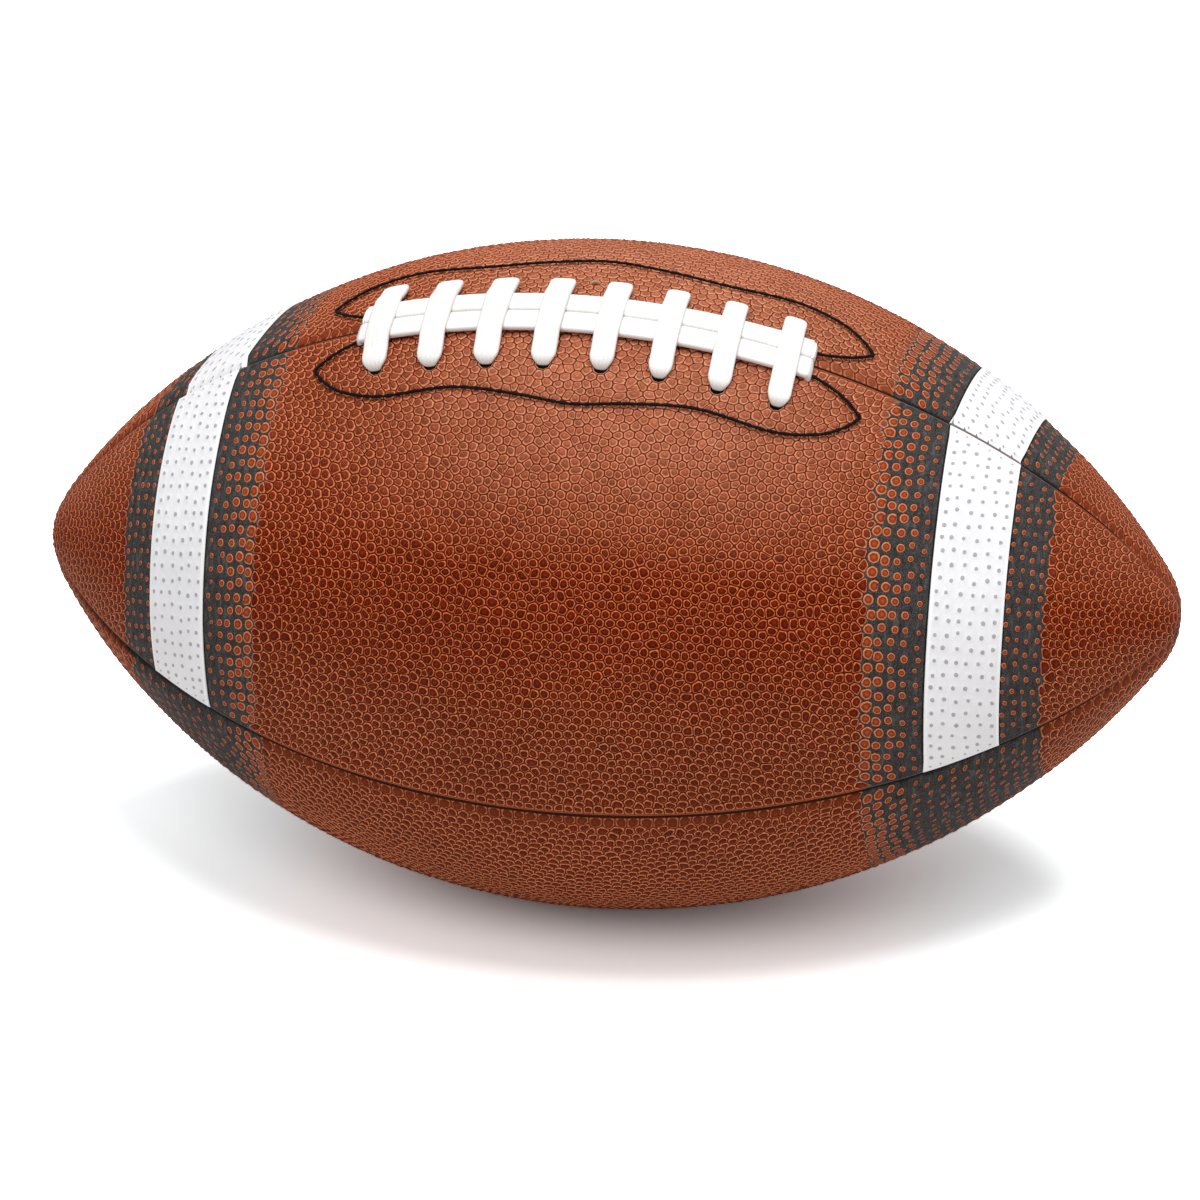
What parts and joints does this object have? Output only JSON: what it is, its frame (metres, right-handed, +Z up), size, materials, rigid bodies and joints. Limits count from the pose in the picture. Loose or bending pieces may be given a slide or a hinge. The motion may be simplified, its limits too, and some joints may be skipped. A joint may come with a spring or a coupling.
{
  "type": "american football",
  "caption": "Pointed inflated leather ball of four lined panels, with rolled-in seams, white end stripes, a flat white lace over the top seam, an inner bladder and a needle valve.",
  "frame": {"origin": "centre of the ball", "axes": "+X along the ball from tip to tip, +Z up as it lies, -Y towards the front, where the lace seam leans by 21 degrees"},
  "size_m": [0.288, 0.1678, 0.168],
  "materials": {
    "leather_brown": "pebbled and tanned, satin, with black printed bands",
    "lining_cloth": "plain cloth, matte",
    "facing_cloth": "stiff cloth, matte",
    "stitch_black": "waxed thread, matte",
    "stripe_white": "flexible white coating with small dimples, satin",
    "seam_thread": "thick waxed thread, matte",
    "lace_white": "smooth coated strap, satin",
    "bladder_rubber": "thin black rubber, satin",
    "valve_rubber": "soft self-sealing rubber, matte"
  },
  "bodies": {
    "root": {"panel_lace_near": "leather_brown", "panel_lace_far": "leather_brown", "panel_base_near": "leather_brown", "panel_base_far": "leather_brown", "lining_lace_near": "lining_cloth", "lining_lace_far": "lining_cloth", "lining_base_near": "lining_cloth", "lining_base_far": "lining_cloth", "facing_near": "facing_cloth", "facing_far": "facing_cloth", "facing_stitch_near": "stitch_black", "facing_stitch_far": "stitch_black", "stripe_near_left": "stripe_white", "stripe_near_right": "stripe_white", "stripe_far_left": "stripe_white", "stripe_far_right": "stripe_white", "seam_thread_lace": "seam_thread", "seam_thread_near": "seam_thread", "seam_thread_bottom": "seam_thread", "seam_thread_far": "seam_thread", "lace": "lace_white", "bladder": "bladder_rubber", "valve_boot": "bladder_rubber", "valve_core": "valve_rubber"}
  },
  "joints": []
}
